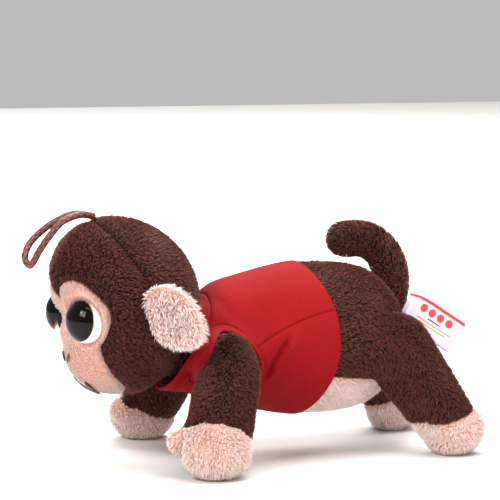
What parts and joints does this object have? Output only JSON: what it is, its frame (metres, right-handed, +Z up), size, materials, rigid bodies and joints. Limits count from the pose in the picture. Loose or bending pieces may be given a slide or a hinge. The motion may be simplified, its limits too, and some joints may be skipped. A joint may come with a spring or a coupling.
{
  "type": "plush monkey",
  "caption": "Small stuffed monkey on all fours with a pale face, a red sleeveless shirt, a curled tail, a hang loop on the crown and a sewn label.",
  "frame": {"origin": "on the ground under the middle of the toy's bounding box, the free hang loop not counted", "axes": "+Z up, the monkey looks along -Y, its left side is +X"},
  "size_m": [0.1064, 0.1625, 0.0882],
  "materials": {
    "brown_plush": "short brown pile",
    "pale_plush": "short pale pile",
    "pale_velour": "very short pale pile",
    "red_jersey": "smooth red knit",
    "fibre_fill": "white polyester fibre",
    "eye_plastic": "polished black",
    "nylon": "natural moulded nylon",
    "dark_thread": "embroidery thread",
    "satin": "white woven satin",
    "loop_cord": "braided cord"
  },
  "bodies": {
    "torso": {"back_panel_left": "brown_plush", "back_panel_right": "brown_plush", "belly_panel": "pale_velour", "torso_stuffing": "fibre_fill", "shirt_back": "red_jersey", "shirt_front": "red_jersey", "shirt_neckband": "red_jersey", "armhole_band_left": "red_jersey", "armhole_band_right": "red_jersey"},
    "neck": {"neck_stuffing": "fibre_fill"},
    "head": {"head_front_panel": "brown_plush", "head_back_panel_left": "brown_plush", "head_back_panel_right": "brown_plush", "face_mask": "pale_velour", "muzzle": "pale_velour", "head_stuffing": "fibre_fill", "eye_left": "eye_plastic", "eye_right": "eye_plastic", "eye_washer_left": "nylon", "eye_washer_right": "nylon", "nostril_stitch_left": "dark_thread", "nostril_stitch_right": "dark_thread", "mouth_stitch": "dark_thread"},
    "left_ear": {"ear_left_front": "pale_plush", "ear_left_back": "pale_plush"},
    "right_ear": {"ear_right_front": "pale_plush", "ear_right_back": "pale_plush"},
    "loop": {"hang_loop": "loop_cord"},
    "left_arm": {"arm_left": "brown_plush", "hand_left": "pale_plush", "arm_stuffing_left": "fibre_fill"},
    "right_arm": {"arm_right": "brown_plush", "hand_right": "pale_plush", "arm_stuffing_right": "fibre_fill"},
    "left_leg": {"leg_left": "brown_plush", "foot_left": "pale_plush", "leg_stuffing_left": "fibre_fill"},
    "right_leg": {"leg_right": "brown_plush", "foot_right": "pale_plush", "leg_stuffing_right": "fibre_fill"},
    "tail": {"tail_skin": "brown_plush", "tail_stuffing": "fibre_fill"},
    "label": {"sewn_label": "satin"}
  },
  "joints": [
    {"name": "neck_turn", "type": "hinge", "parent": "torso", "child": "neck", "pos_m": [0, -0.027, 0.046], "axis": [0, 0, 1], "range_deg": [-15, 15], "stiffness_Nm_per_rad": 0.4},
    {"name": "neck_nod", "type": "hinge", "parent": "neck", "child": "head", "pos_m": [0, -0.027, 0.046], "axis": [1, 0, 0], "range_deg": [-12, 8], "stiffness_Nm_per_rad": 0.4},
    {"name": "left_ear_flop", "type": "hinge", "parent": "head", "child": "left_ear", "pos_m": [0.0308, -0.05, 0.055], "axis": [0, 0, 1], "range_deg": [-20, 20], "stiffness_Nm_per_rad": 0.005},
    {"name": "right_ear_flop", "type": "hinge", "parent": "head", "child": "right_ear", "pos_m": [-0.0308, -0.05, 0.055], "axis": [0, 0, 1], "range_deg": [-20, 20], "stiffness_Nm_per_rad": 0.005},
    {"name": "loop_flop", "type": "hinge", "parent": "head", "child": "loop", "pos_m": [0, -0.0612, 0.0862], "axis": [1, 0, 0], "range_deg": [-60, 0], "stiffness_Nm_per_rad": 0.003},
    {"name": "left_shoulder", "type": "hinge", "parent": "torso", "child": "left_arm", "pos_m": [0.027, -0.0205, 0.0355], "axis": [1, 0, 0], "range_deg": [-25, 20], "stiffness_Nm_per_rad": 0.4},
    {"name": "right_shoulder", "type": "hinge", "parent": "torso", "child": "right_arm", "pos_m": [-0.027, -0.0205, 0.0355], "axis": [1, 0, 0], "range_deg": [-25, 20], "stiffness_Nm_per_rad": 0.4},
    {"name": "left_hip", "type": "hinge", "parent": "torso", "child": "left_leg", "pos_m": [0.018, 0.045, 0.037], "axis": [1, 0, 0], "range_deg": [-20, 20], "stiffness_Nm_per_rad": 0.4},
    {"name": "right_hip", "type": "hinge", "parent": "torso", "child": "right_leg", "pos_m": [-0.018, 0.045, 0.037], "axis": [1, 0, 0], "range_deg": [-20, 20], "stiffness_Nm_per_rad": 0.4},
    {"name": "tail_lift", "type": "hinge", "parent": "torso", "child": "tail", "pos_m": [0, 0.0465, 0.044], "axis": [1, 0, 0], "range_deg": [-30, 0], "stiffness_Nm_per_rad": 0.05},
    {"name": "label_flap", "type": "hinge", "parent": "torso", "child": "label", "pos_m": [0.0082, 0.0552, 0.05], "axis": [0, 0.5, 0.866], "range_deg": [-12, 12], "stiffness_Nm_per_rad": 0.0006}
  ]
}
